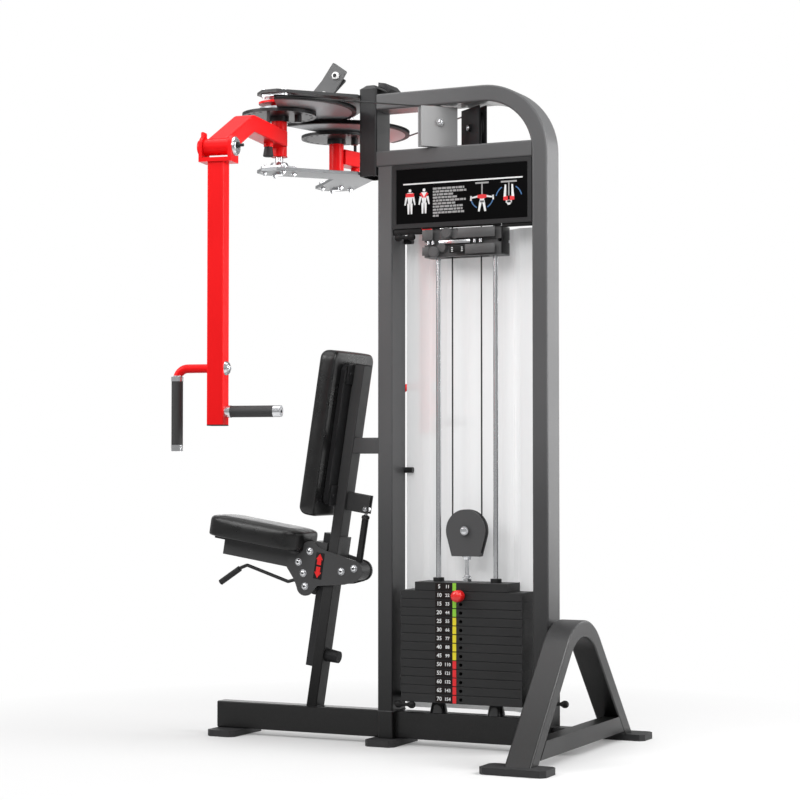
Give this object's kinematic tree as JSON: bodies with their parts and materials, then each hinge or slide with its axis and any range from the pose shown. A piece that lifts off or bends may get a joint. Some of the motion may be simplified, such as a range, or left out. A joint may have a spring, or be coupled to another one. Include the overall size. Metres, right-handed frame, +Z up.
{
  "type": "pec fly machine",
  "caption": "Seated chest-fly and rear-delt machine: overhead-hinged swing arms pull a cable that lifts a guided weight stack; adjustable seat and back pad.",
  "frame": {"origin": "on the floor under the middle of the front post", "axes": "+Z up; +X from the seat towards the weight tower; -Y is the near side; the machine is close to symmetric about Y=0"},
  "size_m": [1.3114, 1.508, 2.1361],
  "materials": {
    "frame_paint": "semi-gloss",
    "arm_paint": "gloss",
    "handle_metal": "gloss with bright ends",
    "cam_metal": "satin",
    "black_parts": "satin",
    "rubber": "matt",
    "bearing_metal": "satin",
    "polished_steel": "polished",
    "weight_iron": "satin black",
    "frosted_panel": "frosted",
    "upholstery": "grained",
    "pulley_plastic": "satin",
    "cable_jacket": "smooth",
    "pin_red": "gloss"
  },
  "bodies": {
    "frame": {"arch_tube": "frame_paint", "back_board": "black_parts", "back_pad": "upholstery", "bumpers": "rubber", "cable": "cable_jacket", "far_pulley_housing": "frame_paint", "front_feet": "rubber", "front_post": "frame_paint", "front_rail": "frame_paint", "guard_clips": "black_parts", "guide_bracket": "frame_paint", "guide_rods": "polished_steel", "head_cap": "black_parts", "head_tube": "frame_paint", "lower_bearings": "bearing_metal", "lower_hub_plate": "frame_paint", "near_pulley_housing": "frame_paint", "placard": "black_parts", "placard_beam": "frame_paint", "post_brace": "frame_paint", "post_strip": "black_parts", "rear_feet": "rubber", "rear_rail": "frame_paint", "rear_stabiliser": "frame_paint", "resting_plates": "weight_iron", "rod_bracket": "black_parts", "seat_post": "frame_paint", "shroud": "frosted_panel", "spring_rod": "polished_steel", "stabiliser_crossbar": "frame_paint", "upper_bearings": "bearing_metal", "upper_hub_plate": "frame_paint"},
    "lift": {"head_plate": "weight_iron", "top_plate": "weight_iron", "selector_stem": "polished_steel", "lift_housing": "frame_paint"},
    "weight_pin_body": {"weight_pin": "pin_red"},
    "lift_wheel": {"lift_pulley": "pulley_plastic"},
    "near_wheel": {"near_pulley": "pulley_plastic"},
    "far_wheel": {"far_pulley": "pulley_plastic"},
    "near_swing": {"near_hub": "arm_paint", "near_cam": "cam_metal", "near_selector_disc": "black_parts", "near_upper_arm": "arm_paint"},
    "far_swing": {"far_hub": "arm_paint", "far_cam": "cam_metal", "far_selector_disc": "black_parts", "far_upper_arm": "arm_paint"},
    "near_hanger": {"near_lower_arm": "arm_paint", "near_handle": "handle_metal", "near_grips": "rubber"},
    "far_hanger": {"far_lower_arm": "arm_paint", "far_handle": "handle_metal", "far_grips": "rubber"},
    "near_pin": {"near_pull_pin": "rubber"},
    "far_pin": {"far_pull_pin": "rubber"},
    "seat_carriage": {"seat_frame": "frame_paint", "seat_pad": "upholstery", "spring_body": "black_parts"},
    "lever": {"seat_lever": "black_parts"}
  },
  "joints": [
    {"name": "near_arm_swing", "type": "hinge", "parent": "frame", "child": "near_swing", "pos_m": [-0.295, -0.193, 1.9], "axis": [0, 0, -1], "range_deg": [0, 100], "deforming": ["cable"]},
    {"name": "far_arm_swing", "type": "hinge", "parent": "frame", "child": "far_swing", "pos_m": [-0.295, 0.193, 1.9], "axis": [0, 0, 1], "range_deg": [0, 100]},
    {"name": "near_hanger_tilt", "type": "hinge", "parent": "near_swing", "child": "near_hanger", "pos_m": [-0.20297, -0.71495, 1.767], "axis": [0.9848, 0.1736, 0], "range_deg": [-12, 12]},
    {"name": "far_hanger_tilt", "type": "hinge", "parent": "far_swing", "child": "far_hanger", "pos_m": [-0.20297, 0.71495, 1.767], "axis": [0.9848, -0.1736, 0], "range_deg": [-12, 12]},
    {"name": "near_pin_pull", "type": "slide", "parent": "near_swing", "child": "near_pin", "axis": [0, 0, -1], "range_m": [0, 0.02], "stiffness_N_per_m": 300, "springref_m": -0.005},
    {"name": "far_pin_pull", "type": "slide", "parent": "far_swing", "child": "far_pin", "axis": [0, 0, -1], "range_m": [0, 0.02], "stiffness_N_per_m": 300, "springref_m": -0.005},
    {"name": "stack_lift", "type": "slide", "parent": "frame", "child": "lift", "axis": [0, 0, 1], "range_m": [0, 0.412], "deforming": ["cable"]},
    {"name": "weight_pin_pull", "type": "slide", "parent": "lift", "child": "weight_pin_body", "axis": [0, -1, 0], "range_m": [0, 0.07]},
    {"name": "lift_pulley_spin", "type": "hinge", "parent": "lift", "child": "lift_wheel", "pos_m": [0.256, 0, 0.661], "axis": [0, 1, 0], "continuous": true},
    {"name": "near_pulley_spin", "type": "hinge", "parent": "frame", "child": "near_wheel", "pos_m": [0.17436, -0.03541, 1.9135], "axis": [-0.7301, 0.6833, 0], "range_deg": [-490, 490]},
    {"name": "far_pulley_spin", "type": "hinge", "parent": "frame", "child": "far_wheel", "pos_m": [0.26721, 0.03102, 1.8995], "axis": [0.6395, 0.7688, 0], "range_deg": [-490, 490]},
    {"name": "seat_height", "type": "slide", "parent": "frame", "child": "seat_carriage", "axis": [0.1564, 0, 0.9877], "range_m": [-0.11, 0]},
    {"name": "seat_lever_pull", "type": "hinge", "parent": "seat_carriage", "child": "lever", "pos_m": [-0.28599, 0, 0.48004], "axis": [0, 1, 0], "range_deg": [-12, 3]}
  ],
  "couplings": [
    {"joint": "far_arm_swing", "follows": "near_arm_swing", "ratio": 1},
    {"joint": "stack_lift", "follows": "near_arm_swing", "m_per_rad": 0.235},
    {"joint": "near_pulley_spin", "follows": "near_arm_swing", "ratio": -4.8454},
    {"joint": "far_pulley_spin", "follows": "near_arm_swing", "ratio": -4.8454}
  ]
}
